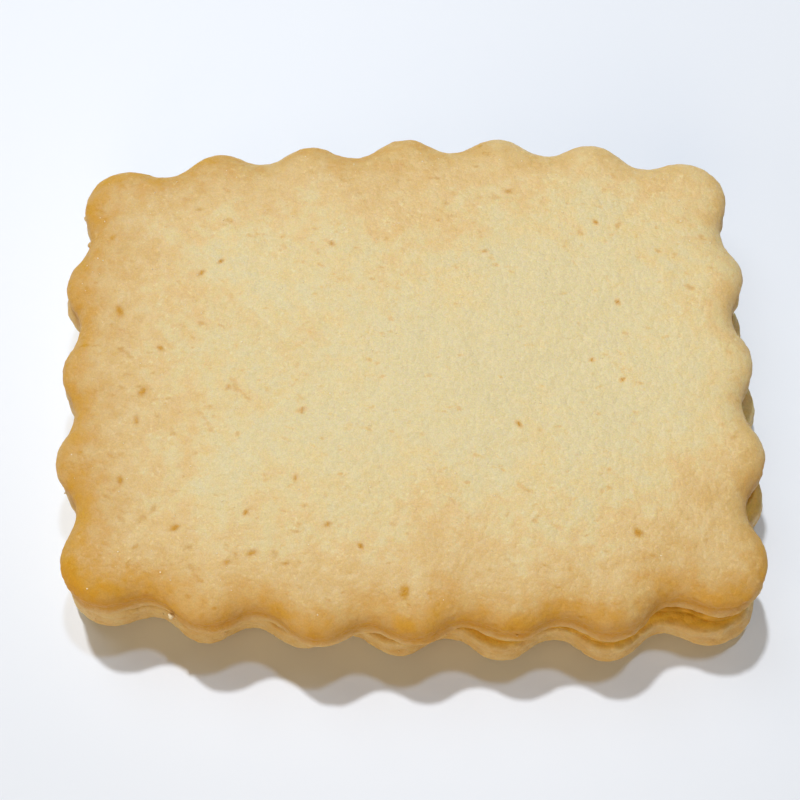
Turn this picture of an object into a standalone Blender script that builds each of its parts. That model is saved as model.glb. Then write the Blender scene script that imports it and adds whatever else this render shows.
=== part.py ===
"""Sandwich biscuit: two fluted, rectangular shortbreads, foot to foot, with a thin filling between.

The upper biscuit lies with its baked top up. The lower one is turned over, so that it rests on its
baked top, and it sits a little askew under the upper one. Metres, +Z up, origin on the surface that
the biscuit lies on, under the middle of the whole. Front is -Y.
"""

import math

import bpy
import mathutils

MM = 0.001

# The cutter: 7 lobes along each long side and 5 along each short one, corner lobes counted twice. The
# lobes of the lower biscuit baked a little narrower.
LOBE_PITCH = 9.65 * MM
LONG_SIDE_LOBES = 5
SHORT_SIDE_LOBES = 3
UPPER_LOBE_RADIUS = 4.2 * MM
LOWER_LOBE_RADIUS = 3.6 * MM
VALLEY_RADIUS = 3.4 * MM
CORNER_RADIUS = 4.7 * MM
CORNER_SLACK = 0.1 * MM
LOBE_STEP_OUT = 1.5 * MM
SHORT_SIDE_BOW = 0.3 * MM

# The stack
BISCUIT_THICKNESS = 5.0 * MM
SEAM = 1.2 * MM
CONTACT_GAP = 0.3 * MM
UPPER_LONG_BOW = 2.5 * MM
LOWER_LONG_BOW = 1.3 * MM
LOWER_SHIFT = (0.55 * MM, -1.3 * MM)
LOWER_TURN = math.radians(-2.3)

# How far each lobe spread outwards in the oven, and how far it slid along its side, in millimetres.
# Both count anticlockwise from the front left corner: front, right, back, left.
UPPER_SPREAD = (
    (-0.2, -0.5, 0.1, -0.3, -0.3, 0.6),
    (1.0, 0.2, -0.2, -0.3),
    (-0.4, -0.6, -0.5, -0.6, -1.1, -1.0),
    (-0.2, 0.2, -0.2, -0.2),
)
UPPER_SLIDE = (
    (0.1, 0.3, 1.2, 0.6, 0.3, -0.1),
    (0.0, 0.2, 0.3, 0.2),
    (-0.4, -0.2, -0.1, -0.1, 0.3, 0.4),
    (0.5, -0.1, -0.1, -0.4),
)
LOWER_SPREAD = (
    (0.0, 0.1, -0.1, 0.2, 0.5, 0.7),
    (0.5, 1.4, 1.0, 0.0),
    (-0.7, -0.2, 0.1, 0.3, -0.2, 0.1),
    (-0.3, 0.2, 0.3, 0.1),
)
LOWER_SLIDE = (
    (-0.3, -0.3, -0.3, -0.6, -0.2, 0.5),
    (0.6, 0.3, 0.5, -0.4),
    (0.7, 0.2, -0.1, 0.2, 0.0, -0.3),
    (0.1, 0.2, -0.2, 0.2),
)

# Edge of a biscuit, from its flat foot up to its baked top: height, inset from the widest line, and
# how much of the crease reaches that height. On the upper biscuit the foot swells into a lip with the
# crease above it. On the lower one the cut side slopes out from the seam to the belly, by the depth of
# the crease. Both end in a round shoulder.
SHOULDER = ((4.05, 0.50, 0.0), (4.55, 1.10, 0.0), (4.85, 1.90, 0.0), (5.00, 3.00, 0.0))
UPPER_EDGE = (
    (0.00, 0.45, 0.0),
    (0.22, 0.08, 0.0),
    (0.80, 0.00, 0.0),
    (1.40, 0.06, 0.3),
    (1.90, 0.12, 0.9),
    (2.30, 0.14, 1.0),
    (2.85, 0.10, 0.5),
    (3.45, 0.17, 0.0),
) + SHOULDER
LOWER_EDGE = (
    (0.00, 0.45, 1.0),
    (0.22, 0.15, 1.0),
    (0.75, 0.05, 0.96),
    (1.20, 0.07, 0.90),
    (1.65, 0.07, 0.74),
    (2.20, 0.03, 0.42),
    (2.85, 0.00, 0.1),
    (3.45, 0.12, 0.0),
) + SHOULDER
# Depth of the crease in the valleys and on the lobes, and on the corner lobes from the front left one
UPPER_CREASE = (0.15 * MM, 0.30 * MM)
UPPER_CORNER_CREASES = (0.40 * MM, 0.85 * MM, 0.50 * MM, 0.50 * MM)
LOWER_CREASE = (0.15 * MM, 0.40 * MM)
LOWER_CORNER_CREASES = (0.80 * MM, 0.85 * MM, 0.60 * MM, 0.60 * MM)

# The baked top isn't quite level: two long, shallow waves, as direction and phase, cross on it.
SWELL = 0.10 * MM
SWELL_LENGTH = 23.0 * MM
SWELL_WAVES = ((0.9, 0.5, 0.0), (-0.7, 0.6, 1.3))
SWELL_STARTS = 3.45 * MM

# The filling follows the flutes of the upper biscuit at a distance. Its edge bulges over its height,
# given as shares of the thickness.
FILLING_BACK = 1.1 * MM
FILLING_EDGE = ((0.0, 0.25 * MM), (0.3, 0.0), (0.7, 0.0), (1.0, 0.25 * MM))

# Facets
LOBE_STEPS = 5
CORNER_STEPS = 10
VALLEY_STEPS = 4
CAP_SPACING = 6.0 * MM

# Colours are linear.
CRUST_COLOUR = (0.68, 0.49, 0.25, 1.0)
PALE_CRUST_COLOUR = (0.60, 0.41, 0.19, 1.0)
FILLING_COLOUR = (0.50, 0.26, 0.06, 1.0)


def side_frames():
    """Start corner, direction and outward normal of the four sides, anticlockwise from the front."""
    half_long = (LONG_SIDE_LOBES + 1) / 2 * LOBE_PITCH + CORNER_SLACK
    half_short = (SHORT_SIDE_LOBES + 1) / 2 * LOBE_PITCH + CORNER_SLACK
    corners = ((-half_long, -half_short), (half_long, -half_short),
               (half_long, half_short), (-half_long, half_short))
    directions = ((1, 0), (0, 1), (-1, 0), (0, -1))
    for corner, along in zip(corners, directions):
        yield corner, along, (along[1], -along[0])


def lobe_circles(lobe_radius, long_bow, spread, slide):
    """Centre and radius of the 20 lobes, anticlockwise from the front left corner."""
    circles = []
    for side, (corner, along, outward) in enumerate(side_frames()):
        is_long = side % 2 == 0
        count = LONG_SIDE_LOBES if is_long else SHORT_SIDE_LOBES
        bow = long_bow if is_long else SHORT_SIDE_BOW
        for place in range(count + 1):
            out = spread[side][place] * MM
            drift = slide[side][place] * MM
            if place == 0:
                diagonal = math.sqrt(0.5)
                normal = [(outward[axis] - along[axis]) * diagonal for axis in (0, 1)]
                tangent = (-normal[1], normal[0])
                circles.append(([corner[axis] + normal[axis] * out + tangent[axis] * drift
                                 for axis in (0, 1)], CORNER_RADIUS))
                continue
            middle = (count + 1) / 2
            off_middle = (place - middle) / middle
            out += LOBE_STEP_OUT + bow * (1 - off_middle ** 2)
            drift += place * LOBE_PITCH + CORNER_SLACK
            circles.append(([corner[axis] + along[axis] * drift + outward[axis] * out
                             for axis in (0, 1)], lobe_radius))
    return circles


def valley_centre(first, second):
    """Centre of the hollow arc that touches two neighbouring lobes from outside."""
    (x1, y1), r1 = first
    (x2, y2), r2 = second
    dx, dy = x2 - x1, y2 - y1
    gap = math.hypot(dx, dy)
    reach_1, reach_2 = r1 + VALLEY_RADIUS, r2 + VALLEY_RADIUS
    along = (reach_1 ** 2 - reach_2 ** 2 + gap ** 2) / (2 * gap)
    out = math.sqrt(reach_1 ** 2 - along ** 2)
    return (x1 + (dx * along + dy * out) / gap, y1 + (dy * along - dx * out) / gap)


def arc_angles(centre, start, end, steps, turn):
    """Angles of an arc about centre from start to end; turn is 1 anticlockwise, -1 clockwise."""
    first = math.atan2(start[1] - centre[1], start[0] - centre[0])
    last = math.atan2(end[1] - centre[1], end[0] - centre[0])
    sweep = ((last - first) * turn) % (2 * math.pi) * turn
    return [first + sweep * step / steps for step in range(steps)]


def outline_rays(circles, crease_depths, corner_creases):
    """Points round the outline, each as (centre, angle, radius, side, crease).

    A point at an inset lies on the ray at radius - side * inset, with side 1 on a lobe and -1 in a
    valley, so every ring of the edge profile is a true offset of the outline.
    """
    rays = []
    in_valley, on_lobe = crease_depths
    corner_creases = iter(corner_creases)
    count = len(circles)
    valleys = [valley_centre(circles[i], circles[(i + 1) % count]) for i in range(count)]
    for i, (centre, radius) in enumerate(circles):
        is_corner = radius == CORNER_RADIUS
        steps = CORNER_STEPS if is_corner else LOBE_STEPS
        full = next(corner_creases) if is_corner else on_lobe
        for step, angle in enumerate(arc_angles(centre, valleys[i - 1], valleys[i], steps, 1)):
            crease = in_valley + (full - in_valley) * math.sin(math.pi * step / steps)
            rays.append((centre, angle, radius, 1, crease))
        next_centre = circles[(i + 1) % count][0]
        for angle in arc_angles(valleys[i], centre, next_centre, VALLEY_STEPS, -1):
            rays.append((valleys[i], angle, VALLEY_RADIUS, -1, in_valley))
    return rays


def swell(x, y, height):
    """Height that the uneven baked top adds at a point, none of it below the shoulder."""
    share = max(0.0, (height - SWELL_STARTS) / (BISCUIT_THICKNESS - SWELL_STARTS))
    turn = 2 * math.pi / SWELL_LENGTH
    waves = [math.sin(turn * (east * x + north * y) + phase) for east, north, phase in SWELL_WAVES]
    return SWELL * share * sum(waves) / len(waves)


def grid_inside(ring, spacing):
    """Points of a square grid that lie inside a ring, half a spacing or more away from it."""
    half_x = max(abs(x) for x, y in ring)
    half_y = max(abs(y) for x, y in ring)
    points = []
    for row in range(-int(half_y / spacing), int(half_y / spacing) + 1):
        for column in range(-int(half_x / spacing), int(half_x / spacing) + 1):
            x, y = column * spacing, row * spacing
            nearest = min(math.hypot(x - a, y - b) for a, b in ring)
            if nearest > spacing / 2 and is_inside(x, y, ring):
                points.append((x, y))
    return points


def is_inside(x, y, ring):
    """True where a point lies inside a closed ring of points."""
    crossings = 0
    for (x1, y1), (x2, y2) in zip(ring, ring[1:] + ring[:1]):
        if (y1 > y) != (y2 > y) and x < x1 + (y - y1) / (y2 - y1) * (x2 - x1):
            crossings += 1
    return crossings % 2 == 1


def cap_faces(ring, inner):
    """Triangles that fill a ring, through inner points, as indices into ring + inner."""
    points = [mathutils.Vector(point) / MM for point in ring + inner]
    count = len(ring)
    edges = [(i, (i + 1) % count) for i in range(count)]
    result = mathutils.geometry.delaunay_2d_cdt(points, edges, [], 1, 1e-5)
    source = [origins[0] for origins in result[3]]
    return [tuple(source[corner] for corner in face) for face in result[2]]


def stack_rings(rings, caps):
    """Vertices and faces of a closed body: rings joined by bands, and a cap on each end.

    rings are lists of (x, y, z) from bottom to top; caps are the points inside the lowest ring and
    inside the highest one.
    """
    count = len(rings[0])
    points = [point for ring in rings for point in ring]
    faces = []
    for level in range(len(rings) - 1):
        low, high = level * count, (level + 1) * count
        for i in range(count):
            j = (i + 1) % count
            faces.append((low + i, low + j, high + j, high + i))
    for ring_start, inner, is_top in ((0, caps[0], False), ((len(rings) - 1) * count, caps[1], True)):
        ring = [point[:2] for point in points[ring_start:ring_start + count]]
        inner_start = len(points)
        points = points + inner
        for face in cap_faces(ring, [point[:2] for point in inner]):
            ids = [ring_start + i if i < count else inner_start + i - count for i in face]
            faces.append(tuple(ids if is_top else reversed(ids)))
    return points, faces


def add_node(name, points, faces, material):
    """A named object with its mesh, shaded smooth but for the edges of its flat faces."""
    mesh = bpy.data.meshes.new(name)
    mesh.from_pydata(points, [], faces)
    mesh.validate()
    mesh.shade_smooth()
    mesh.set_sharp_from_angle(angle=math.radians(40))
    mesh.materials.append(material)
    node = bpy.data.objects.new(name, mesh)
    bpy.context.collection.objects.link(node)
    return node


def plain_material(name, colour, roughness):
    """A matte or glossy surface without metal."""
    material = bpy.data.materials.new(name)
    material.use_nodes = True
    shader = material.node_tree.nodes["Principled BSDF"]
    shader.inputs["Base Color"].default_value = colour
    shader.inputs["Roughness"].default_value = roughness
    shader.inputs["Metallic"].default_value = 0.0
    return material


def offset_ring(rays, inset, crease_share):
    """Points of the outline drawn in by an inset and by a share of the crease."""
    ring = []
    for centre, angle, radius, side, crease in rays:
        reach = radius - side * (inset + crease_share * crease)
        ring.append((centre[0] + reach * math.cos(angle), centre[1] + reach * math.sin(angle)))
    return ring


def biscuit_body(rays, edge, turned_over):
    """One biscuit with its foot on z = 0, rising to its baked top, or hanging from it turned over."""
    rings = []
    for height, inset, share in edge:
        ring = offset_ring(rays, inset * MM, share)
        rise = height * MM
        rings.append([(x, y, rise if turned_over else rise + swell(x, y, rise)) for x, y in ring])
    inner = []
    if not turned_over:
        for x, y in grid_inside([point[:2] for point in rings[-1]], CAP_SPACING):
            inner.append((x, y, BISCUIT_THICKNESS + swell(x, y, BISCUIT_THICKNESS)))
    points, faces = stack_rings(rings, ([], inner))
    if turned_over:
        points = [(x, y, -z) for x, y, z in points]
        faces = [tuple(reversed(face)) for face in faces]
    return points, faces


def filling_body(rays, thickness):
    """The filling: a thin fluted slab with a bulging edge, its foot on z = 0."""
    rings = []
    for share, inset in FILLING_EDGE:
        ring = offset_ring(rays, FILLING_BACK + inset, 0.0)
        rings.append([(x, y, thickness * share) for x, y in ring])
    return stack_rings(rings, ([], []))


def centre_on_origin(nodes, parent):
    """Moves the parent of the nodes so that their common box stands centred on the origin."""
    bpy.context.view_layer.update()
    corners = [node.matrix_world @ vertex.co for node in nodes for vertex in node.data.vertices]
    for axis in (0, 1):
        values = [corner[axis] for corner in corners]
        parent.location[axis] = -(min(values) + max(values)) / 2


def build():
    for old in list(bpy.data.objects):
        bpy.data.objects.remove(old)

    crust = plain_material("baked_crust", CRUST_COLOUR, 0.75)
    pale_crust = plain_material("pale_crust", PALE_CRUST_COLOUR, 0.8)
    filling_colour = plain_material("filling", FILLING_COLOUR, 0.45)

    upper_circles = lobe_circles(UPPER_LOBE_RADIUS, UPPER_LONG_BOW, UPPER_SPREAD, UPPER_SLIDE)
    upper_rays = outline_rays(upper_circles, UPPER_CREASE, UPPER_CORNER_CREASES)
    upper = add_node("upper_biscuit", *biscuit_body(upper_rays, UPPER_EDGE, turned_over=False), crust)
    upper.location.z = BISCUIT_THICKNESS + SEAM

    lower_circles = lobe_circles(LOWER_LOBE_RADIUS, LOWER_LONG_BOW, LOWER_SPREAD, LOWER_SLIDE)
    lower_rays = outline_rays(lower_circles, LOWER_CREASE, LOWER_CORNER_CREASES)
    lower = add_node("lower_biscuit", *biscuit_body(lower_rays, LOWER_EDGE, turned_over=True), pale_crust)
    lower.location = (*LOWER_SHIFT, BISCUIT_THICKNESS)
    lower.rotation_euler.z = LOWER_TURN

    filling_mesh = filling_body(upper_rays, SEAM - 2 * CONTACT_GAP)
    filling = add_node("filling", *filling_mesh, filling_colour)
    filling.location = (LOWER_SHIFT[0] / 2, LOWER_SHIFT[1] / 2, BISCUIT_THICKNESS + CONTACT_GAP)
    filling.rotation_euler.z = LOWER_TURN / 2

    stack = bpy.data.objects.new("stack", None)
    bpy.context.collection.objects.link(stack)
    nodes = (upper, lower, filling)
    for node in nodes:
        node.parent = stack
    centre_on_origin(nodes, stack)


build()
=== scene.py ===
# %% [markdown]
# # A fluted sandwich biscuit
# Two thin, pale biscuits, cut with a fluted rectangular cutter, lie foot to foot with a little
# filling between them. The upper one shows its baked top. The lower one is turned over and sits
# slightly askew. The solids come from the CAD part, and this lesson dresses them: every piece is
# in metres, in the CAD part's own place, with +Z up and the front of the biscuit towards -Y.

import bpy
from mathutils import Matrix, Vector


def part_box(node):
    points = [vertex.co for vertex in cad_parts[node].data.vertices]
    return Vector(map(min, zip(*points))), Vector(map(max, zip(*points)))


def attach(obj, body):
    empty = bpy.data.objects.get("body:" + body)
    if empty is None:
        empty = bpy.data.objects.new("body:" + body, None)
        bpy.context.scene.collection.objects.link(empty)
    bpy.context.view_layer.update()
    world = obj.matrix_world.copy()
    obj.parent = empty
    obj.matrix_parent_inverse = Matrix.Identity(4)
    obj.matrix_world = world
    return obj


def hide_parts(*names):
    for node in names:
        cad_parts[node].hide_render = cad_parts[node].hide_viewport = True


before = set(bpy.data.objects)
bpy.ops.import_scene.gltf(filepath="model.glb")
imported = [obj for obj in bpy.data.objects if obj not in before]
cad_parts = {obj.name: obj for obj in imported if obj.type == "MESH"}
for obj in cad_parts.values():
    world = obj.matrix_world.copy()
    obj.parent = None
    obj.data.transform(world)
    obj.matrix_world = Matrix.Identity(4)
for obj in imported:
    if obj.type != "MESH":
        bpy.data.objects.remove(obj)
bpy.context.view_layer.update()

# %% Blender's modules, and the units of this lesson
import math
import random

import bpy
import numpy as np
from mathutils import Euler, Matrix, Vector, kdtree

MM = 0.001
print("one millimetre is", MM, "in the scene's metres")

# %% [markdown]
# ## Camera
# The photograph looks down at the front of the biscuit at about 68 degrees, from close by, a
# little turned and rolled. A camera could be placed by hand and nudged, but its aim, distance and
# angles are known here, so its matrix is written down directly: right, up and backwards as three
# columns. Places on the upper biscuit, here and below, are measured from the middle of its foot.

# %% Camera
MIDDLE = Vector((-0.388, 0.475, 6.2)) * MM
AIM = MIDDLE + Vector((-0.70, -1.786, 0.0)) * MM
DISTANCE = 153.14 * MM
ELEVATION = math.radians(67.892)
YAW = math.radians(3.091)
ROLL = math.radians(-3.586)
LENS = 67.5  # focal length and sensor width, in the camera's own millimetres
SENSOR = 36.0
NEAREST = 5 * MM  # nothing nearer to the camera is drawn


def camera_axes():
    """Right, up and backwards of the camera."""
    out = math.cos(ELEVATION)
    back = Vector((math.sin(YAW) * out, -math.cos(YAW) * out, math.sin(ELEVATION)))
    level = Vector((math.cos(YAW), math.sin(YAW), 0.0))
    upright = level.cross(-back)
    right = level * math.cos(ROLL) + upright * math.sin(ROLL)
    up = -level * math.sin(ROLL) + upright * math.cos(ROLL)
    return right, up, back


def add_camera():
    right, up, back = camera_axes()
    data = bpy.data.cameras.new("camera")
    data.lens, data.sensor_width, data.clip_start = LENS, SENSOR, NEAREST
    camera = bpy.data.objects.new("camera", data)
    bpy.context.scene.collection.objects.link(camera)
    turn = Matrix((right, up, back)).transposed().to_4x4()
    camera.matrix_world = Matrix.Translation(AIM + back * DISTANCE) @ turn
    bpy.context.scene.camera = camera
    return camera


camera = add_camera()
print("camera stands at", [round(x / MM, 1) for x in camera.matrix_world.translation], "mm")

# %% [markdown]
# ## Light
# A strong small lamp hangs high behind the biscuit, a little to the left, and a weaker, bluish one
# still higher, to the right. Their shadows fall towards the viewer and overlap, so the shadow has
# a pale outer part and a deep inner one. One big lamp would be simpler but would lose that double
# edge. The rest is wide: a cool panel behind, which the biscuit hides from the ground just in
# front of it, and warm ones in front, with the room itself, for the sides that face the viewer. So
# the deepest shadow is warm.

# %% Lamps and room light
LAMP_DISTANCE = 0.90  # metres
LAMP_WHITE = (0.97, 0.985, 1.0)
BLUISH = (0.62, 0.78, 1.0)
COOL = (0.90, 0.95, 1.0)
SOFT_WARM = (1.0, 0.84, 0.60)
WARM = (1.0, 0.74, 0.42)
LAMPS = (  # name, azimuth and elevation in degrees, size in metres, share of the light, colour
    ("lamp_left", 106.0, 66.0, 0.05, 0.515, LAMP_WHITE),
    ("lamp_right", 62.0, 73.5, 0.06, 0.19, BLUISH),
    ("panel_behind", 125.0, 52.0, 0.50, 0.12, COOL),
    ("panel_front", 266.0, 14.0, 0.60, 0.055, WARM),
    ("panel_front_high", 262.0, 42.0, 0.60, 0.085, WARM),
    ("panel_front_left", 215.0, 22.0, 0.60, 0.05, SOFT_WARM),
)
ROOM_COLOUR = (1.0, 0.80, 0.54, 1.0)
ROOM_STRENGTH = 0.14


def add_lamp(name, azimuth, elevation, size, share, colour):
    """A round lamp that gives a level white surface at the origin this share of full white."""
    a, e = math.radians(azimuth), math.radians(elevation)
    away = Vector((math.cos(a) * math.cos(e), math.sin(a) * math.cos(e), math.sin(e)))
    data = bpy.data.lights.new(name, "AREA")
    data.shape, data.size, data.color = "DISK", size, colour
    data.energy = share * math.pi ** 2 * LAMP_DISTANCE ** 2 / math.sin(e)
    lamp = bpy.data.objects.new(name, data)
    bpy.context.scene.collection.objects.link(lamp)
    lamp.location = away * LAMP_DISTANCE
    lamp.rotation_euler = away.to_track_quat("Z", "Y").to_euler()


def add_room_light():
    world = bpy.data.worlds.new("room")
    world.use_nodes = True
    background = world.node_tree.nodes["Background"]
    background.inputs["Color"].default_value = ROOM_COLOUR
    background.inputs["Strength"].default_value = ROOM_STRENGTH
    bpy.context.scene.world = world


for lamp_values in LAMPS:
    add_lamp(*lamp_values)
add_room_light()
bpy.context.scene.view_settings.view_transform = "Standard"
print(len(LAMPS), "lamps; colours are shown without a film curve")

# %% [markdown]
# ## Small helpers
# Blender's operators act on whatever is selected and active, so each step starts by selecting one
# object alone. A modifier is added, set and applied in one go, as a modeller would with the mouse.


# %% Selecting and applying
def select_only(piece):
    bpy.ops.object.select_all(action="DESELECT")
    piece.select_set(True)
    bpy.context.view_layer.objects.active = piece


def apply_modifier(piece, kind, **settings):
    select_only(piece)
    modifier = piece.modifiers.new(kind.lower(), kind)
    for key, value in settings.items():
        setattr(modifier, key, value)
    bpy.ops.object.modifier_apply(modifier=modifier.name)


def coordinates(piece):
    values = np.empty(len(piece.data.vertices) * 3)
    piece.data.vertices.foreach_get("co", values)
    return values.reshape(-1, 3)


def normals(piece):
    values = np.empty(len(piece.data.vertices) * 3, np.float32)
    piece.data.vertex_normals.foreach_get("vector", values)
    return values.reshape(-1, 3).astype(float)


def triangle_count(piece):
    return sum(len(polygon.vertices) - 2 for polygon in piece.data.polygons)


for solid_name, solid in sorted(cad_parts.items()):
    print("the solid", solid_name, "has", triangle_count(solid), "triangles")

# %% [markdown]
# ## The two biscuits
# Each biscuit is one piece of baked dough: a flat foot that swelled into a thin lip, a crease
# above it, a rounded shoulder and a nearly level baked top. The CAD solid already has that shape,
# but in flat facets. It could be modelled again from a plate, but then the outline would have to
# be drawn twice. A copy of the solid is merged, rounded by subdivision and remeshed into small,
# even squares, fine enough to carry real crumb relief.

# %% Copy a solid and give it an even, fine skin
MERGE_WITHIN = 0.01 * MM
SQUARE_FOLD = math.radians(30)  # two triangles become a square if they fold less than this
SQUARE_SKEW = math.radians(60)  # and if its corners are off by less than this
ROUNDING_LEVELS = 2
SKIN = 0.25 * MM
SMOOTHING = 5  # times, half of the way each time
ROUNDING_LOSS = 0.11 * MM  # what the rounding takes off the sides


def copy_solid(node, name):
    """A merged copy of a CAD solid as a new object."""
    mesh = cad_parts[node].data.copy()
    mesh.materials.clear()
    piece = bpy.data.objects.new(name, mesh)
    bpy.context.scene.collection.objects.link(piece)
    select_only(piece)
    bpy.ops.mesh.customdata_custom_splitnormals_clear()
    bpy.ops.object.mode_set(mode="EDIT")
    bpy.ops.mesh.select_all(action="SELECT")
    bpy.ops.mesh.remove_doubles(threshold=MERGE_WITHIN)
    bpy.ops.mesh.tris_convert_to_quads(face_threshold=SQUARE_FOLD, shape_threshold=SQUARE_SKEW)
    bpy.ops.object.mode_set(mode="OBJECT")
    return piece


def push_sides(piece, amounts):
    """Moves each point outwards, level, by its amount. Level faces stay: their normals point up or
    down."""
    points, outwards = coordinates(piece), normals(piece)
    outwards[:, 2] = 0.0
    points += outwards * np.reshape(amounts, (-1, 1))
    piece.data.vertices.foreach_set("co", points.ravel())
    piece.data.update()


def round_off(piece):
    apply_modifier(piece, "SUBSURF", levels=ROUNDING_LEVELS, render_levels=ROUNDING_LEVELS)


def fine_skin(piece):
    round_off(piece)
    apply_modifier(piece, "REMESH", mode="VOXEL", voxel_size=SKIN)
    apply_modifier(piece, "SMOOTH", factor=0.5, iterations=SMOOTHING)
    push_sides(piece, ROUNDING_LOSS)


upper = copy_solid("upper_biscuit", "upper_biscuit_baked")
fine_skin(upper)
lower = copy_solid("lower_biscuit", "lower_biscuit_baked")
fine_skin(lower)
print("squares:", len(upper.data.polygons), "and", len(lower.data.polygons))

# %% [markdown]
# ### Where on the biscuit a point lies
# Baking works from the edge inwards, so most of what follows needs two numbers for each point: how
# far it lies inside the outline, and how high it is above the foot. The distance is measured to
# the widest line of the same mesh, with a search tree.

# %% Measure each point's place
WIDEST_HEIGHT = 0.75 * MM
WIDEST_BAND = 0.6 * SKIN  # points this near to that height make up the widest line
UPPER_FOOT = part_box("upper_biscuit")[0].z
LOWER_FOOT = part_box("lower_biscuit")[1].z
SEAM = UPPER_FOOT - LOWER_FOOT


class Place:
    """For every point of a biscuit: height above its foot, distance inside its outline, and which
    way it lies, in degrees anticlockwise from the right, with the outline made square."""

    def __init__(self, piece, foot, turned_over):
        self.points = coordinates(piece)
        self.height = (foot - self.points[:, 2]) if turned_over else (self.points[:, 2] - foot)
        ring = self.points[np.abs(self.height - WIDEST_HEIGHT) < WIDEST_BAND]
        tree = kdtree.KDTree(len(ring))
        for index, point in enumerate(ring):
            tree.insert((point[0], point[1], 0.0), index)
        tree.balance()
        found = [tree.find((x, y, 0.0)) for x, y, z in self.points]
        self.inset = np.array([distance for near, index, distance in found])
        nearest = ring[np.array([index for near, index, distance in found])]
        half = np.abs(ring[:, :2]).max(axis=0)
        angle = np.arctan2(nearest[:, 1] / half[1], nearest[:, 0] / half[0])
        self.compass = np.degrees(angle) % 360


upper_place = Place(upper, UPPER_FOOT, turned_over=False)
lower_place = Place(lower, LOWER_FOOT, turned_over=True)
print("deepest inside the outline:", round(upper_place.inset.max() / MM, 1), "mm")

# %% [markdown]
# ### Thinning the hidden faces
# The faces that the biscuits turn towards each other are flat and out of sight, so their squares
# are collapsed. Deleting them would leave the body open. The weight group tells the modifier which
# points may go first.

# %% Collapse the squares of the hidden face
HIDDEN_INSET = 5.0 * MM
HIDDEN_HEIGHT = 0.1 * MM
LEAST_WEIGHT = 0.001  # a point with less is left out of its group
SEEN_SHARE = 1.02  # a little more than the points in sight, as the hidden face keeps some too


def weight_group(piece, name, weights):
    group = piece.vertex_groups.new(name=name)
    for index in np.nonzero(weights > LEAST_WEIGHT)[0]:
        group.add([int(index)], float(weights[index]), "REPLACE")
    return group.name


def thin_hidden_face(piece, place):
    hidden = (place.height < HIDDEN_HEIGHT) & (place.inset > HIDDEN_INSET)
    group = weight_group(piece, "hidden", hidden.astype(float))
    share = SEEN_SHARE * (1 - hidden.mean())
    apply_modifier(piece, "DECIMATE", ratio=share, vertex_group=group)
    piece.vertex_groups.clear()


thin_hidden_face(upper, upper_place)
thin_hidden_face(lower, lower_place)
upper_place = Place(upper, UPPER_FOOT, turned_over=False)
lower_place = Place(lower, LOWER_FOOT, turned_over=True)
print("triangles:", triangle_count(upper), "and", triangle_count(lower))

# %% [markdown]
# ### Uneven dough
# Real dough is never level. The top has faint, broad swells and a close crumb. The cut sides are
# rougher, with layers that run along them, and the thin lip is a little ragged. Each of these is a
# Displace modifier with its own procedural texture, held by a weight group to where it belongs.


# %% A soft step, soft hills and a relief
def ramp(values, start, end):
    """0 before start and 1 after end, with a soft change between."""
    share = np.clip((values - start) / (end - start), 0.0, 1.0)
    return share * share * (3 - 2 * share)


def add_spots(values, x, y, spots):
    """Adds a soft round hill for each spot: its middle, radius and strength."""
    for spot_x, spot_y, radius, strength in spots:
        values += strength * np.exp(-((x - spot_x) ** 2 + (y - spot_y) ** 2) / radius ** 2)


def displace(piece, size, detail, strength, weights=None):
    """Cloudy relief with blobs of this size, in and out by half the strength."""
    texture = bpy.data.textures.new("relief", "CLOUDS")
    texture.noise_scale, texture.noise_depth = size, detail
    group = "" if weights is None else weight_group(piece, "held", weights)
    apply_modifier(piece, "DISPLACE", texture=texture, texture_coords="LOCAL", strength=strength,
                   mid_level=0.5, vertex_group=group)
    piece.vertex_groups.clear()
    bpy.data.textures.remove(texture)


print("halfway up a soft step the value is", float(ramp(0.5, 0.0, 1.0)))

# %% Uneven dough
TOP_FROM = (3.6 * MM, 4.8 * MM)  # heights between which a soft step starts and ends
SIDE_UP_TO = (3.2 * MM, 4.6 * MM)
SIDE_INWARDS = (1.2 * MM, 2.4 * MM)  # the same, for distances inside the outline
LIP_UP_TO = (0.9 * MM, 1.5 * MM)
LIP_INWARDS = (1.0 * MM, 2.0 * MM)
RELIEF = (  # where, size, detail, strength
    ("top", 7.0 * MM, 1, 0.26 * MM), ("top", 2.2 * MM, 1, 0.10 * MM),
    ("top", 0.9 * MM, 0, 0.035 * MM), ("side", 3.0 * MM, 2, 0.24 * MM),
    ("side", 0.9 * MM, 3, 0.22 * MM), ("lip", 1.7 * MM, 2, 0.26 * MM),
)


def uneven_dough(piece, place):
    """Puts the relief on, and returns how much each point belongs to the cut side."""
    side = (1 - ramp(place.height, *SIDE_UP_TO)) * (1 - ramp(place.inset, *SIDE_INWARDS))
    lip = (1 - ramp(place.height, *LIP_UP_TO)) * (1 - ramp(place.inset, *LIP_INWARDS))
    zones = {"top": ramp(place.height, *TOP_FROM), "side": side, "lip": lip}
    for zone, size, detail, strength in RELIEF:
        displace(piece, size, detail, strength, zones[zone])
    return side


deepest = max(strength for zone, size, detail, strength in RELIEF)
print(len(RELIEF), "kinds of relief, up to", round(deepest / MM, 2), "mm deep")

# %% Layers in the cut sides
LAYER_HEIGHT = 0.85 * MM
LAYER_DEPTH = 0.022  # millimetres
WANDER = 1.1  # how far the layers wander, in radians of their wave
WANDER_LENGTHS = (2.3 * MM, 1.9 * MM)  # along X and along Y


def layered_sides(piece, place, side):
    """Faint layers along the cut sides, which wander up and down as they go round."""
    along_x, along_y = (place.points[:, axis] / WANDER_LENGTHS[axis] for axis in (0, 1))
    wander = np.sin(along_x) + np.sin(along_y + 1.0)
    wave = np.sin(2 * math.pi * place.height / LAYER_HEIGHT + WANDER * wander)
    push_sides(piece, wave * side * LAYER_DEPTH * MM)


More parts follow.
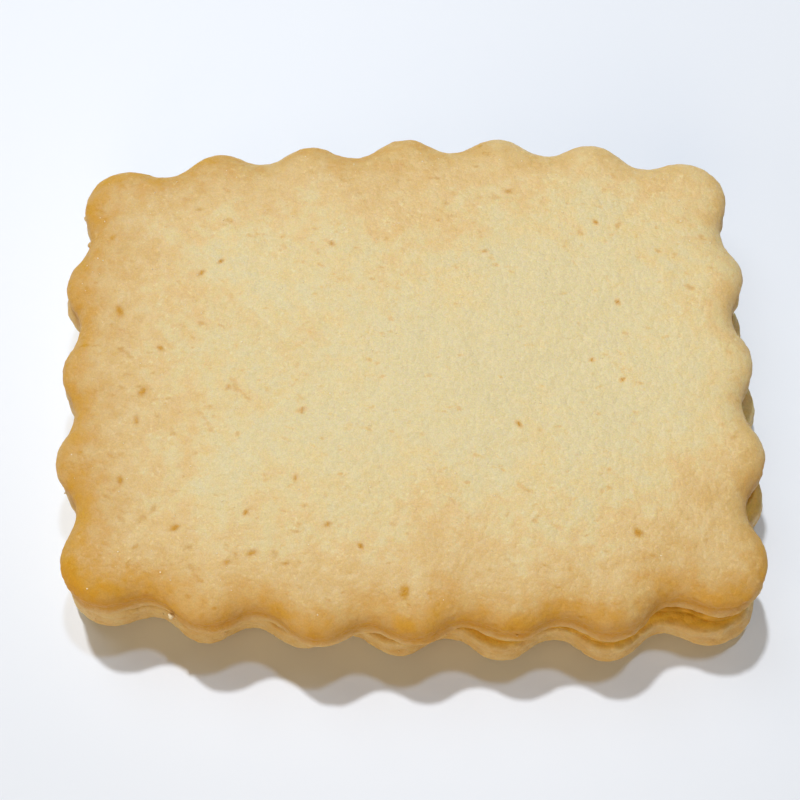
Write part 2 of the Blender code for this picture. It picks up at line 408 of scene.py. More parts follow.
def rest_on_floor(piece):
    """Flattens what would reach below the floor."""
    points = coordinates(piece)
    points[:, 2] = np.maximum(points[:, 2], 0.0)
    piece.data.vertices.foreach_set("co", points.ravel())
    piece.data.update()


print("a layer every", LAYER_HEIGHT / MM, "mm of height")

# %% The spread lip, and the relief on both biscuits
LIP_BULGES = (  # where the upper biscuit's foot spread: x, y, radius and how far, in millimetres
    (-34.6, 7.4, 1.9, 0.50), (-34.1, 17.3, 1.6, 0.25),
    (-33.9, -3.0, 1.2, 0.22), (-33.2, -13.4, 1.4, 0.35),
)
BULGE_UP_TO = (1.6 * MM, 2.6 * MM)


def from_middle(place):
    """X and Y of every point from the middle of the upper foot, in millimetres."""
    return (place.points[:, 0] - MIDDLE.x) / MM, (place.points[:, 1] - MIDDLE.y) / MM


def spread_lip(piece, place):
    x, y = from_middle(place)
    amounts = np.zeros(len(x))
    add_spots(amounts, x, y, LIP_BULGES)
    push_sides(piece, amounts * (1 - ramp(place.height, *BULGE_UP_TO)) * MM)
    place.points = coordinates(piece)


spread_lip(upper, upper_place)
for piece, place in ((upper, upper_place), (lower, lower_place)):
    side_weights = uneven_dough(piece, place)
    layered_sides(piece, place, side_weights)
    rest_on_floor(piece)
    place.points = coordinates(piece)
print("relief is on both biscuits")

# %% [markdown]
# ### How brown each point is, with painted shade and light
# A pale biscuit browns from its rim, where the dough is thin and the heat comes from two sides. It
# browned unevenly: the left and front most, the right hardly at all. The lowest values, on the
# right, are also painted cool light, and in the crease of the cut side the number also holds
# painted shade. An image could be painted, but a number per point is enough at this scale: 0 is
# pale dough,
# 1 is golden and 1.6 is burnt. It is written down here, and the material turns it into colour.

# %% Browning all round, by compass, with painted cool light on the right
BAKE_RANGE = 1.6
RIM_BROWN_AND_COOL_LIGHT = (  # how brown the rim of the top is; on the right partly painted cool light
    (0, 0.22), (38, 0.46), (55, 0.46), (90, 0.66), (125, 0.96), (142, 1.00), (165, 0.88),
    (200, 0.87), (218, 1.10), (225, 1.14), (231, 0.84), (243, 0.74), (250, 0.98), (259, 0.92),
    (269, 0.85), (281, 0.97), (300, 0.96), (320, 0.92), (340, 0.48), (360, 0.22),
)
BROWN_REACH = (  # how many millimetres inwards it has faded to a third
    (0, 5.8), (125, 5.8), (145, 8.4), (205, 8.4), (225, 5.8), (360, 5.8),
)
BROWN_SIDE = (  # how brown the cut side is
    (0, 0.50), (90, 0.60), (150, 0.45), (200, 0.42), (225, 0.85), (300, 0.90), (330, 0.75),
    (360, 0.50),
)


def by_compass(table, place):
    """The table's value in the direction of each point."""
    return np.interp(place.compass, *zip(*table))


print("brownest rim:", round(float(by_compass(RIM_BROWN_AND_COOL_LIGHT, upper_place).max()), 2))

# %% Patches and spots
PATCHES = (  # broad browner patches: x, y, radius in millimetres, strength
    (-9.5, 3.0, 3.2, 0.16), (6.5, 16.5, 4.5, 0.09), (3.0, -16.0, 4.0, 0.09),
    (-2.0, 13.5, 8.0, 0.10), (27.0, -17.5, 6.0, 0.12), (-20.0, 2.0, 9.0, 0.04),
    (-32.0, -9.0, 3.0, 0.12), (26.0, -2.0, 6.0, -0.08),
)
SHOULDER_SPOTS = (  # saturated spots where the shoulder caught the heat: x, y, radius, strength
    (-32.2, -21.1, 1.5, 0.22), (-28.7, -22.1, 1.6, 0.12), (-12.5, -24.4, 1.0, 0.20),
    (-11.5, -25.5, 0.9, 0.22), (-9.0, -26.6, 0.9, 0.25), (-0.1, -26.5, 1.0, 0.25),
    (7.2, -25.4, 0.8, 0.20), (9.5, -26.9, 1.1, 0.34), (16.8, -25.8, 0.8, 0.22),
    (18.3, -25.1, 0.8, 0.25), (19.6, -26.7, 1.0, 0.22), (30.1, -23.2, 1.5, 0.25),
    (-32.4, 18.7, 1.2, 0.12), (-31.6, 16.7, 1.1, 0.12), (-33.4, 11.0, 1.3, 0.12),
    (-32.1, 7.9, 1.2, 0.12), (-33.0, -3.0, 1.6, 0.14), (-33.0, -12.5, 1.6, 0.14),
)
print(len(PATCHES), "patches and", len(SHOULDER_SPOTS), "spots")

# %% [markdown]
# ### Where the specks go
# Here and there a drop of butter or sugar browned deeper than the dough, as a short, bent mark.
# Noise would spread such marks anywhere, so the clear ones are a table of places, sizes and turns.
# Each gets a second, smaller mark at an angle. They stain the crust here, and get a lump of their
# own below.

# %% Marks in the crust
FLECKS = (  # burnt specks: x, y and length in millimetres, turn in degrees, strength
    (-29.0, 6.35, 1.0, -75, 1.0), (-28.55, 2.1, 0.55, -20, 0.45), (-20.85, 10.5, 0.8, 40, 0.6),
    (-18.95, 11.8, 0.62, 35, 0.95), (-24.6, 2.05, 0.5, -15, 0.95), (-26.15, -2.6, 0.9, 55, 0.75),
    (-26.55, -5.6, 0.9, 90, 0.4), (-27.7, -11.85, 0.8, 90, 0.8), (-24.35, -14.75, 0.75, 65, 0.4),
    (-22.15, -16.7, 0.75, 15, 1.0), (-14.7, -19.25, 0.9, 25, 0.75), (-15.4, -15.25, 0.55, 55, 0.7),
    (-10.7, -11.85, 0.65, 90, 0.5), (-7.55, -16.5, 0.72, 30, 0.65), (-4.4, -18.7, 0.55, -60, 0.95),
    (-0.2, -23.3, 1.05, 80, 0.85), (-10.25, -4.75, 1.0, 15, 0.4), (11.0, -6.5, 0.7, -60, 0.75),
    (21.9, -17.7, 0.76, -65, 1.3), (19.65, 15.65, 0.58, -55, 0.85), (21.4, 6.6, 0.6, 90, 1.0),
    (21.35, -1.95, 0.5, 15, 0.7), (18.45, 0.25, 0.65, 5, 0.6), (3.45, 16.2, 0.4, 25, 0.4),
    (-7.6, 13.65, 0.75, -30, 0.55), (8.1, 12.5, 0.7, -5, 0.45), (10.7, 19.5, 0.9, -10, 0.45),
    (-17.6, -2.2, 0.45, 40, 0.5), (-25.85, -18.55, 0.6, 15, 0.5), (-26.4, -20.3, 0.5, 70, 0.4),
    (-17.1, -20.2, 0.6, 0, 0.55), (-11.35, -20.3, 0.5, 20, 0.4),
)
LENGTHENING = 1.12  # makes up for the soft ends
MARK_WIDTHS = (0.26, 0.36)  # shares of its length
SECOND_BENDS = (0.5, 1.2)  # radians between the first mark and the second
SECOND_HALVES = (0.3, 0.45)  # half length of the second, as a share of the first's
SECOND_REACH = 0.30  # how far off it lies, as a share of the speck's length
SECOND_STRENGTH = 0.5
DICE = random.Random(7)


def plan_marks():
    """Two elongated marks for each fleck, the smaller one at an angle, as the real ones are bent
    and notched: x, y, half length and half width in millimetres, turn in radians, strength."""
    marks = []
    for x, y, length, degrees, strength in FLECKS:
        half, turn = LENGTHENING * length / 2, math.radians(degrees)
        marks.append((x, y, half, half * DICE.uniform(*MARK_WIDTHS), turn, strength))
        bend, half = turn + DICE.uniform(*SECOND_BENDS), half * DICE.uniform(*SECOND_HALVES)
        reach = SECOND_REACH * length
        marks.append((x + reach * math.cos(bend), y + reach * math.sin(bend), half,
                      half * DICE.uniform(*MARK_WIDTHS), bend, SECOND_STRENGTH * strength))
    return marks


marks = plan_marks()
print(len(marks), "marks, the longest", round(2 * max(mark[2] for mark in marks), 2), "mm long")

# %% Staining the crust with them
MARK_STRENGTH = 1.25  # how much browner the crust is at a speck of strength 1
MARK_EDGE = 0.08  # how softly it ends at its sides, in millimetres


def add_marks(values, x, y, marks):
    """Adds a soft oval hill for each mark."""
    for mark_x, mark_y, half, width, turn, strength in marks:
        along = (x - mark_x) * math.cos(turn) + (y - mark_y) * math.sin(turn)
        across = (y - mark_y) * math.cos(turn) - (x - mark_x) * math.sin(turn)
        hill = np.exp(-(along / half) ** 2 - (across / (width + MARK_EDGE)) ** 2)
        values += MARK_STRENGTH * strength * hill


print("the marks fade over", MARK_EDGE, "mm")

# %% Browning of the upper biscuit, with painted shade in the crease
SIDE_TOP = (3.0, 4.2)  # between these heights, in millimetres, the side turns into the top
SIDE_WIDTH = (1.0 * MM, 2.5 * MM)  # and between these distances inside the outline
CREASE = (2.7, 1.0)  # height of the crease, and its half width, in millimetres
CREASE_BROWN_AND_SHADE = 0.75  # how much browner and darker it is than the rest of the side, as a share: partly browning, partly painted shade
LIP_TOP = (1.1, 1.9)
LIP_PALE = 0.35  # how much paler the lip is


def browned_upper(place):
    reach = by_compass(BROWN_REACH, place) * MM
    brown = by_compass(RIM_BROWN_AND_COOL_LIGHT, place) * np.exp(-place.inset / reach)
    x, y = from_middle(place)
    add_spots(brown, x, y, PATCHES)
    add_spots(brown, x, y, SHOULDER_SPOTS)
    add_marks(brown, x, y, marks)
    height = place.height / MM
    crease = np.exp(-((height - CREASE[0]) / CREASE[1]) ** 2)
    lip = 1 - ramp(height, *LIP_TOP)
    # The crease is made browner and darker: partly real browning, partly painted shade where the
    # crease turns away from the lamps.
    side_brown_and_crease_shade = by_compass(BROWN_SIDE, place) * (1 + CREASE_BROWN_AND_SHADE * crease - LIP_PALE * lip)
    share = (1 - ramp(height, *SIDE_TOP)) * (1 - ramp(place.inset, *SIDE_WIDTH))
    return np.clip(brown * (1 - share) + side_brown_and_crease_shade * share, 0.0, BAKE_RANGE)


def write_number(piece, name, values):
    attribute = piece.data.attributes.new(name, "FLOAT", "POINT")
    attribute.data.foreach_set("value", values.astype(np.float32))
    return float(values.max())


brownest = write_number(upper, "browned", browned_upper(upper_place))
print("upper biscuit: brown up to", round(brownest, 2))

# %% [markdown]
# ### The lower biscuit
# Its baked face lies on the floor, and only its cut side shows, paler than the upper one's.
# Towards the front right, where it sticks out, the shaded ledge just below the seam is painted a
# warm yellow: painted bounce light, standing in for the light that the seam throws back into its
# shade. It could be painted into an image, but as a second number per point it follows the seam by
# itself.

# %% Browning and painted bounce light of the lower biscuit
LOWER_FACE_FROM = (3.6, 4.8)  # heights above its foot, in millimetres
LOWER_SIDE = (0.10, 0.40)  # how brown its side is at least, and what the tone of the side adds
LOWER_FACE = (0.1, 0.9)  # how brown the middle of its face is, and what the rim adds
LOWER_REACH = 6.0 * MM
SEAM_PAINTED_BOUNCE = (  # how strong the painted bounce light is, by compass
    (0, 0.20), (40, 0.15), (90, 0.10), (180, 0.10), (225, 0.12), (262, 0.25), (280, 0.90),
    (318, 1.00), (340, 0.45), (360, 0.20),
)
BOUNCE_INSET = (0.15, 0.80)  # millimetres inside the outline, as the very edge keeps its own colour
BOUNCE_HEIGHT = (0.1, 0.7)  # millimetres from the seam


def browned_lower(place):
    baked_face = ramp(place.height / MM, *LOWER_FACE_FROM)
    side = LOWER_SIDE[0] + LOWER_SIDE[1] * by_compass(BROWN_SIDE, place)
    face = LOWER_FACE[1] * np.exp(-place.inset / LOWER_REACH) + LOWER_FACE[0]
    return np.clip(side * (1 - baked_face) + face * baked_face, 0.0, BAKE_RANGE)


# Painted bounce light: a warm yellow on the shaded ledge along the seam, standing in for light
# thrown back into the shade.
def painted_bounce_lower(place):
    inside = ramp(place.inset / MM, *BOUNCE_INSET)
    near_seam = 1 - ramp(place.height / MM, *BOUNCE_HEIGHT)
    return by_compass(SEAM_PAINTED_BOUNCE, place) * inside * near_seam


brownest = write_number(lower, "browned", browned_lower(lower_place))
strongest = write_number(lower, "painted_bounce", painted_bounce_lower(lower_place))
print("lower biscuit: brown up to", round(brownest, 2), "and stained up to", round(strongest, 2))

# %% [markdown]
# ## Materials
# A biscuit's colour is several things at once: how brown it is, soft mottling a few millimetres
# wide, a close grain of crumbs, and small dark pores. Each of these is a node group, so that both
# biscuits and the crumbs share them with values of their own. An image texture could do the same,
# but the groups stay sharp at any distance and have no seams.


# %% Building node groups
NUMBER = "NodeSocketFloat"
COLOUR = "NodeSocketColor"
NOISE_RANGE = (0.30, 0.70)  # nearly all noise values lie between these


def new_group(name, inputs, outputs):
    """A shader node group with number inputs (name, default) and outputs (name, kind)."""
    tree = bpy.data.node_groups.new(name, "ShaderNodeTree")
    for label, default in inputs:
        socket = tree.interface.new_socket(name=label, in_out="INPUT", socket_type=NUMBER)
        socket.default_value = default
    for label, kind in outputs:
        tree.interface.new_socket(name=label, in_out="OUTPUT", socket_type=kind)
    return tree, tree.nodes.new("NodeGroupInput"), tree.nodes.new("NodeGroupOutput")


def add_node(tree, kind, links=(), **settings):
    """A node with its settings, and its inputs set to a number or linked to another socket."""
    node = tree.nodes.new(kind)
    for key, value in settings.items():
        setattr(node, key, value)
    for label, value in dict(links).items():
        if isinstance(value, bpy.types.NodeSocket):
            tree.links.new(value, node.inputs[label])
        else:
            node.inputs[label].default_value = value
    return node


def math_node(tree, operation, first, second=0.0):
    return add_node(tree, "ShaderNodeMath", {0: first, 1: second}, operation=operation).outputs[0]


def weighted_sum(tree, terms):
    """Adds sockets, each times its own weight."""
    total = None
    for socket, weight in terms:
        part = math_node(tree, "MULTIPLY", socket, weight)
        total = part if total is None else math_node(tree, "ADD", total, part)
    return total


def step_node(tree, value, start, end, low=0.0, high=1.0):
    """Maps start..end to low..high, softly and without going beyond."""
    return add_node(tree, "ShaderNodeMapRange",
                    {"Value": value, "From Min": start, "From Max": end, "To Min": low,
                     "To Max": high}, interpolation_type="SMOOTHSTEP").outputs["Result"]


def object_place(tree):
    return tree.nodes.new("ShaderNodeTexCoord").outputs["Object"]


def noise_node(tree, size, detail=1.0, roughness=0.5, vector=None):
    """Noise with blobs about size metres wide, on Object coordinates unless a vector is given."""
    place = object_place(tree) if vector is None else vector
    return add_node(tree, "ShaderNodeTexNoise",
                    {"Vector": place, "Scale": 1.0 / size, "Detail": detail,
                     "Roughness": roughness}).outputs["Fac"]


def swing_node(tree, noise):
    """Turns noise, which stays near its middle, into a full swing from -1 to 1."""
    return step_node(tree, noise, *NOISE_RANGE, -1.0, 1.0)


def bump_node(tree, height, distance):
    return add_node(tree, "ShaderNodeBump",
                    {"Height": height, "Strength": 1.0, "Distance": distance}).outputs["Normal"]


print("node helpers: a number becomes an input's value, a socket becomes a link")

# %% [markdown]
# ### Crumb grain
# Close up, the crust is a felt of fine crumbs, half a millimetre across and less. It is too fine
# for the mesh, so it is a height for the Bump node, with a mask of its lighter crumbs and a finer
# grit that only makes it lighter and darker. Little of what the eye sees of it is a change of
# colour.


# %% Crumb grain group
GRAIN_SIZE = 0.50 * MM
FINE_SIZE = 0.24 * MM
WIDE_SIZE = 1.2 * MM
GRIT_SIZE = 0.14 * MM
GRAIN_HEIGHTS = (0.30, 1.0, -0.45)  # of fine noise, wide noise and the way from a grain's middle
CRUMB_RISE = 0.5  # how much the wide noise decides where the lighter crumbs are
CRUMB_CUT = (0.85, 0.45)  # above the first value there is no lighter crumb, below the second all


def make_crumb_grain():
    tree, source, result = new_group("crumb_grain", (("Coarseness", 1.0),),
                                     (("Height", NUMBER), ("Crumbs", NUMBER), ("Grit", NUMBER)))
    scaled = add_node(tree, "ShaderNodeVectorMath",
                      {0: object_place(tree), "Scale": source.outputs["Coarseness"]},
                      operation="SCALE").outputs["Vector"]
    fine, wide, grit = (noise_node(tree, size, vector=scaled)
                        for size in (FINE_SIZE, WIDE_SIZE, GRIT_SIZE))
    cells = add_node(tree, "ShaderNodeTexVoronoi", {"Vector": scaled, "Scale": 1 / GRAIN_SIZE},
                     feature="F1").outputs["Distance"]
    domes = math_node(tree, "MULTIPLY", cells, cells)
    height = weighted_sum(tree, zip((fine, wide, domes), GRAIN_HEIGHTS))
    rise = math_node(tree, "ADD", cells, math_node(tree, "MULTIPLY", wide, CRUMB_RISE))
    tree.links.new(height, result.inputs["Height"])
    tree.links.new(step_node(tree, rise, *CRUMB_CUT), result.inputs["Crumbs"])
    tree.links.new(swing_node(tree, grit), result.inputs["Grit"])
    return tree


crumb_grain = make_crumb_grain()
print("group", crumb_grain.name, "has", len(crumb_grain.nodes), "nodes")

# %% [markdown]
# ### Mottling, pores and flour
# Butter and flour are never quite even, so the crust has cloudy patches from one to eight
# millimetres wide. The pores are where steam came out: short amber marks, up to a millimetre long,
# most of them along the biscuit and in loose clusters. Noise that is stretched one way and cut off
# near its peaks gives such marks, no two alike, which cells or dots would not. A little flour left
# small pale patches, which are peaks of another noise.


# %% Mottling group
CLOUDS = (  # output, size, detail, roughness
    ("Broad", 7.0 * MM, 2.0, 0.5),
    ("Close", 1.6 * MM, 2.0, 0.52),
)


def make_mottling():
    tree, _, result = new_group("dough_mottling", (), [(label, NUMBER) for label, *_ in CLOUDS])
    for label, *cloud in CLOUDS:
        tree.links.new(swing_node(tree, noise_node(tree, *cloud)), result.inputs[label])
    return tree


mottling = make_mottling()
print("group", mottling.name, "has", len(mottling.nodes), "nodes")

# %% Pore group
PORE_CUT = (0.635, 0.90)  # the noise values where a pore begins and where it is darkest
PORE_LENGTHENING = 1.6
PORE_LAYERS = ((6, 0.75 * MM), (-22, 0.90 * MM))  # turn in degrees, width
PORE_NOISE = (1.0, 0.4)  # detail and roughness
RAGGED_SIZE = 0.22 * MM
RAGGED = 0.12  # how far the fine noise moves the edge of a pore, in noise values
CLUSTER_SIZE = 5.0 * MM
CLUSTER_CUT = (0.35, 0.60, 0.35, 1.0)  # outside the clusters, pores keep a third of their strength


def pore_layer(tree, ragged, turn, width):
    """Marks where noise that is stretched one way comes near its peaks."""
    turned = add_node(tree, "ShaderNodeMapping", {"Vector": object_place(tree)},
                      vector_type="TEXTURE")
    turned.inputs["Rotation"].default_value = (0.0, 0.0, math.radians(turn))
    turned.inputs["Scale"].default_value = (PORE_LENGTHENING, 1.0, 1.0)
    peaks = noise_node(tree, width, *PORE_NOISE, turned.outputs["Vector"])
    return step_node(tree, math_node(tree, "ADD", peaks, ragged), *PORE_CUT)


def make_pores():
    tree, _, result = new_group("steam_pores", (), (("Pores", NUMBER),))
    fine = math_node(tree, "SUBTRACT", noise_node(tree, RAGGED_SIZE), 0.5)
    ragged = math_node(tree, "MULTIPLY", fine, RAGGED)
    layers = [pore_layer(tree, ragged, *layer) for layer in PORE_LAYERS]
    holes = math_node(tree, "MAXIMUM", *layers)
    clusters = step_node(tree, noise_node(tree, CLUSTER_SIZE), *CLUSTER_CUT)
    tree.links.new(math_node(tree, "MULTIPLY", holes, clusters), result.inputs["Pores"])
    return tree


pores = make_pores()
print("group", pores.name, "has", len(pores.nodes), "nodes")

# %% Flour group
PATCH = (0.45 * MM, 0.57, 0.76)  # size of the noise, and the values where it starts and is full
DRIFT = (4.0 * MM, 0.38, 0.62)


def make_flour():
    """Small pale patches of flour, in loose drifts."""
    tree, _, result = new_group("dusted_flour", (), (("Flour", NUMBER),))
    patches, drifts = (step_node(tree, noise_node(tree, size), *cut)
                       for size, *cut in (PATCH, DRIFT))
    tree.links.new(math_node(tree, "MULTIPLY", patches, drifts), result.inputs["Flour"])
    return tree


flour = make_flour()
print("group", flour.name, "has", len(flour.nodes), "nodes")

# %% [markdown]
# ### From browning to colour
# Dough goes from a pale, slightly greenish cream through straw and tan to orange brown. A colour
# ramp holds those steps. Plain noise over one colour would be simpler, but gives colours that no
# oven makes. Here the mottling and crumbs push a point a little to and fro along the ramp, pores
# brown it more and darken it a little, and the painted bounce light near the seam, a warm yellow
# that stands in for light thrown back into the seam's shade, is mixed in last.

# %% Browning group, with painted light
BAKE_COLOURS = (  # how brown, then the colour as it shows, 0 to 255
    (0.00, (224, 210, 163)), (0.15, (225, 205, 151)), (0.30, (223, 194, 136)),
    (0.50, (216, 183, 120)), (0.72, (210, 169, 99)), (0.90, (207, 162, 81)),
    (1.10, (205, 157, 61)), (1.30, (203, 151, 44)), (1.60, (197, 143, 35)),
)
# Painted bounce light: the warm yellow that stands in for light thrown back into the shaded seam
PAINTED_BOUNCE_COLOUR = (250, 212, 96)
LIGHT_LEVEL = 1.04  # how bright the lamps make a level white surface, with 1 for full white


def linear(colour):
    """A colour as shown, 0 to 255, as the linear colour of a surface under this scene's light."""
    shown = [c / 255 for c in colour]
    values = [((c + 0.055) / 1.055) ** 2.4 if c > 0.04045 else c / 12.92 for c in shown]
    return tuple(value / LIGHT_LEVEL for value in values) + (1.0,)


def blend_colours(tree, share, first, second):
    """The first colour where share is 0, the second where it is 1; either may be a socket. The
    node has its A, B and result once for each kind of value; 6, 7 and 2 are those for colours."""
    return add_node(tree, "ShaderNodeMix", {"Factor": share, 6: first, 7: second},
                    data_type="RGBA").outputs[2]


def make_browning():
    tree, source, result = new_group(
        "oven_browning_and_painted_light", (("Browned", 0.0), ("Push", 0.0), ("Stained", 0.0), ("Shade", 0.0)),
        (("Colour", COLOUR),))
    total = math_node(tree, "ADD", source.outputs["Browned"], source.outputs["Push"])
    steps = add_node(tree, "ShaderNodeValToRGB",
                     {"Fac": math_node(tree, "DIVIDE", total, BAKE_RANGE)})
    band = steps.color_ramp
    while len(band.elements) < len(BAKE_COLOURS):
        band.elements.new(0.5)
    for element, (brown, colour) in zip(band.elements, BAKE_COLOURS):
        element.position = brown / BAKE_RANGE
    for element, (brown, colour) in zip(band.elements, BAKE_COLOURS):
        element.color = linear(colour)
    left = math_node(tree, "SUBTRACT", 1.0, source.outputs["Shade"])
    # the painted bounce light is mixed over the dough colour here
    dough = blend_colours(tree, source.outputs["Stained"], steps.outputs["Color"],
                          linear(PAINTED_BOUNCE_COLOUR))
    shaded = add_node(tree, "ShaderNodeVectorMath", {0: dough, "Scale": left},
                      operation="SCALE").outputs["Vector"]
    tree.links.new(shaded, result.inputs["Colour"])
    return tree


browning = make_browning()
print("group", browning.name, "with", len(BAKE_COLOURS), "colours")

# %% [markdown]
# ### The crust
# Baked dough is matt, and some light goes into it and comes out again nearby, yellower. A plain
# matt surface would look like plaster, so the biscuits get some of this subsurface light, and
# little shine. The same material serves the baked top, the paler lower biscuit, the crumbs and the
# specks: only its numbers differ.

# %% Crust material
LIGHTER_WHERE_BROWN = 0.15  # keeps the mottling a change of colour more than of brightness
PORE_SHADE = 0.03  # how much darker, as a share; flour is lighter
GRIT_SHADE = 0.046
FLOUR_SHADE = -0.05
FLOUR_PUSH = -0.14  # how far flour moves a point towards the pale end
MOTTLED = (0.6, 1.65)  # mottling grows with browning, from the first number to the second
PORE_HEIGHT = -0.15  # in the measure of the crumb grain's height
FLOUR_HEIGHT = 0.04
CRUST_ROUGHNESS = (0.48, 0.70)
CRUST_GLOW = ((1.0, 0.78, 0.28), 1.8 * MM)  # how far each colour of light wanders, and the scale


def use_group(tree, group, **values):
    return add_node(tree, "ShaderNodeGroup", values, node_tree=group).outputs


def new_material(name):
    """A new material with its node tree and its main shader."""
    material = bpy.data.materials.new(name)
    material.use_nodes = True
    return material, material.node_tree, material.node_tree.nodes["Principled BSDF"]


def set_light(shader, sheen, glow, radius, scale):
    """The light that the surface mirrors, and the light that wanders inside."""
    shader.inputs["Specular IOR Level"].default_value = sheen
    shader.inputs["Subsurface Weight"].default_value = glow
    shader.inputs["Subsurface Radius"].default_value = radius
    shader.inputs["Subsurface Scale"].default_value = scale


def crust_material(name, coarseness, broad, close, crumb, pore, bump, sheen, glow):
    """Broad, close, crumb and pore say how far each moves a point along the browning colours."""
    material, tree, shader = new_material(name)
    # The second number is painted bounce light near the seam; in the crease the first also holds
    # painted shade
    browned, painted_bounce = (add_node(tree, "ShaderNodeAttribute", attribute_name=number).outputs["Fac"]
                        for number in ("browned", "painted_bounce"))
    grain = use_group(tree, crumb_grain, Coarseness=coarseness)
    clouds = use_group(tree, mottling)
    holes = use_group(tree, pores)["Pores"]
    dust = use_group(tree, flour)["Flour"]
    uneven = weighted_sum(tree, ((clouds["Broad"], broad), (clouds["Close"], close)))
    strength = math_node(tree, "MINIMUM", math_node(tree, "ADD", browned, MOTTLED[0]), MOTTLED[1])
    uneven = math_node(tree, "MULTIPLY", uneven, strength)
    push = weighted_sum(tree, ((grain["Crumbs"], -crumb), (holes, pore), (dust, FLOUR_PUSH)))
    shade = weighted_sum(tree, ((holes, PORE_SHADE), (dust, FLOUR_SHADE),
                                (grain["Grit"], GRIT_SHADE), (uneven, -LIGHTER_WHERE_BROWN)))
    colour = use_group(tree, browning, Browned=browned, Push=math_node(tree, "ADD", uneven, push),
                       Stained=painted_bounce, Shade=shade)["Colour"]
    height = weighted_sum(tree, ((grain["Height"], 1.0), (holes, PORE_HEIGHT),
                                 (dust, FLOUR_HEIGHT)))
    roughness = step_node(tree, grain["Crumbs"], 0.0, 1.0, *CRUST_ROUGHNESS)
    tree.links.new(colour, shader.inputs["Base Color"])
    tree.links.new(bump_node(tree, height, bump), shader.inputs["Normal"])
    tree.links.new(roughness, shader.inputs["Roughness"])
    set_light(shader, sheen, glow, *CRUST_GLOW)
    return material


CRUSTS = (  # name, coarseness, broad, close, crumb, pore, bump, sheen, glow
    ("baked_crust_look", 1.0, 0.10, 0.115, 0.015, 0.48, 0.115 * MM, 0.25, 0.40),
    ("pale_crust_look", 0.8, 0.08, 0.15, 0.03, 0.30, 0.16 * MM, 0.2, 0.40),
    ("loose_crumb_look", 1.2, 0.05, 0.10, 0.03, 0.10, 0.03 * MM, 0.2, 0.0),
    ("burnt_sugar_look", 1.6, 0.05, 0.12, 0.02, 0.10, 0.02 * MM, 0.3, 0.0),
)
baked_crust, pale_crust, loose_crumb, burnt_sugar = (crust_material(*values) for values in CRUSTS)
upper.data.materials.append(baked_crust)
lower.data.materials.append(pale_crust)
for piece in (upper, lower):
    piece.data.shade_smooth()
print("both crusts have their material; the crumbs and specks get theirs below")

# %% [markdown]
# ## The filling
# A thin amber layer shows as a line in the seam. A flat slab would do for its place, but its edge
# shows at the front, so it is a copy of the CAD solid, which already follows the flutes. It is
# stretched to meet both biscuits and rounded. Then its edge wanders in and out, as soft filling
# does when the biscuits are pressed together.

# %% Stretch, round and let the edge wander
FILLING_OVERLAP = 0.04 * MM  # how far it reaches into each biscuit, so that no gap shows
FILLING_WANDER = (1.6 * MM, 2, 0.55 * MM)  # size, detail and strength


def make_filling():
    piece = copy_solid("filling", "filling_layer")
    low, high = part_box("filling")
    bpy.ops.object.mode_set(mode="EDIT")
    bpy.ops.mesh.select_all(action="SELECT")
    stretch = (SEAM + 2 * FILLING_OVERLAP) / (high.z - low.z)
    bpy.ops.transform.resize(value=(1, 1, stretch), center_override=(0, 0, (low.z + high.z) / 2))
    bpy.ops.object.mode_set(mode="OBJECT")
    round_off(piece)
    displace(piece, *FILLING_WANDER, weights=1 - np.abs(normals(piece)[:, 2]))
    return piece


filling = make_filling()
print("the seam is", round(SEAM / MM, 2), "mm high")
print("the filling has", triangle_count(filling), "triangles")

# %% [markdown]
# ### What the filling looks like
# It is a deep amber, with lighter and darker patches about a millimetre wide, and a soft sheen.
# The deep amber is partly painted shade: it stands in for the warm shade in the seam. One colour
# would look like plastic in the few places where it shows, so noise leads from one colour to
# another. The sugar grains further down are made of the same material in other colours.

# %% Filling material
TONE_NOISE = (3.0, 0.6)  # detail and roughness
TONE_CUT = (0.35, 0.65)  # between these values of the noise one colour turns into the other
# Deep amber, partly painted shade: it stands in for the warm shade in the seam.
FILLING_LIGHT = (0.68, 0.37, 0.025, 1.0)
FILLING_DARK = (0.50, 0.26, 0.010, 1.0)
FILLING_PATCH = 1.2 * MM
FILLING_ROUGHNESS = (0.40, 0.60)
FILLING_BUMP = 0.03 * MM
FILLING_GLOW = (0.15, (1.0, 0.5, 0.1), 0.8 * MM)  # share, how far each colour wanders, scale
FILLING_SHEEN = 0.25


def noisy_material(name, first, second, patch, roughness, bump):
    """A surface that wanders between two colours, in patches, and between two roughness values."""
    material, tree, shader = new_material(name)
    tone = step_node(tree, noise_node(tree, patch, *TONE_NOISE), *TONE_CUT)
    tree.links.new(blend_colours(tree, tone, first, second), shader.inputs["Base Color"])
    tree.links.new(step_node(tree, tone, 0.0, 1.0, *roughness), shader.inputs["Roughness"])
    tree.links.new(bump_node(tree, tone, bump), shader.inputs["Normal"])
    return material, shader


filling_and_seam_shade_look, filling_shader = noisy_material("filling_and_seam_shade_look", FILLING_LIGHT, FILLING_DARK,
                                              FILLING_PATCH, FILLING_ROUGHNESS, FILLING_BUMP)
set_light(filling_shader, FILLING_SHEEN, *FILLING_GLOW)
filling.data.materials.append(filling_and_seam_shade_look)
filling.data.shade_smooth()
print("filling material is on")

# %% [markdown]
# ## Specks, sugar and crumbs
# Three kinds of small thing lie on the crust: burnt specks sunk into it, fine grains of sugar that
# catch the light, and loose crumbs along the cut sides. A texture could fake them, but each has an
# outline of its own when seen up close. One of each kind is modelled, then copied, turned and
# sized for every place, and the copies are joined into one piece for each kind.

# %% One of each kind
SPECK_RELIEF = (0.9, 2, 0.9)  # size, detail and strength, for a lump with a radius of 1
CRUMB_RELIEF = (0.9, 1, 0.6)
SUGAR_SHAPE = (0.75, 0.9, 1.0)  # half sides
SUGAR_CUT = 0.35  # how far the cut edges reach


